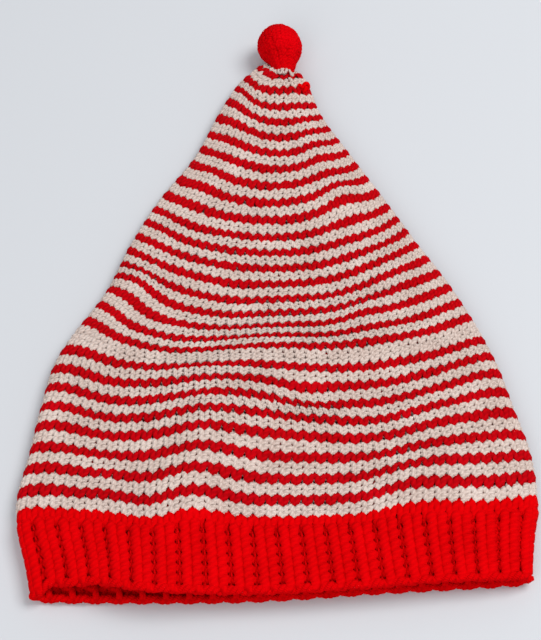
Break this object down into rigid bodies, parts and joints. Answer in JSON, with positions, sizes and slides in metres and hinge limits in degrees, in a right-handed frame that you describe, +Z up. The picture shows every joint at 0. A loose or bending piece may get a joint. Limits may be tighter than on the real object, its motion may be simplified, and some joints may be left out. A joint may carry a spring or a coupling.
{
  "type": "knitted nightcap",
  "caption": "Child's striped pointed nightcap in stocking stitch with a ribbed brim and a stuffed ball at the tip, lying flat.",
  "frame": {"origin": "on the surface the cap lies on, under the middle of its box", "axes": "+Y from the brim towards the tip and its ball, +Z up from the lower layer to the upper layer, +X to the right seen from the brim"},
  "size_m": [0.2122, 0.3066, 0.0258],
  "materials": {
    "off_white_yarn": "plied acrylic yarn, matte, knitted in stocking stitch with red courses",
    "red_yarn": "plied acrylic yarn, matte, slightly fuzzy"
  },
  "bodies": {
    "root": {"crown": "off_white_yarn", "brim": "red_yarn", "pompom": "red_yarn"}
  },
  "joints": []
}
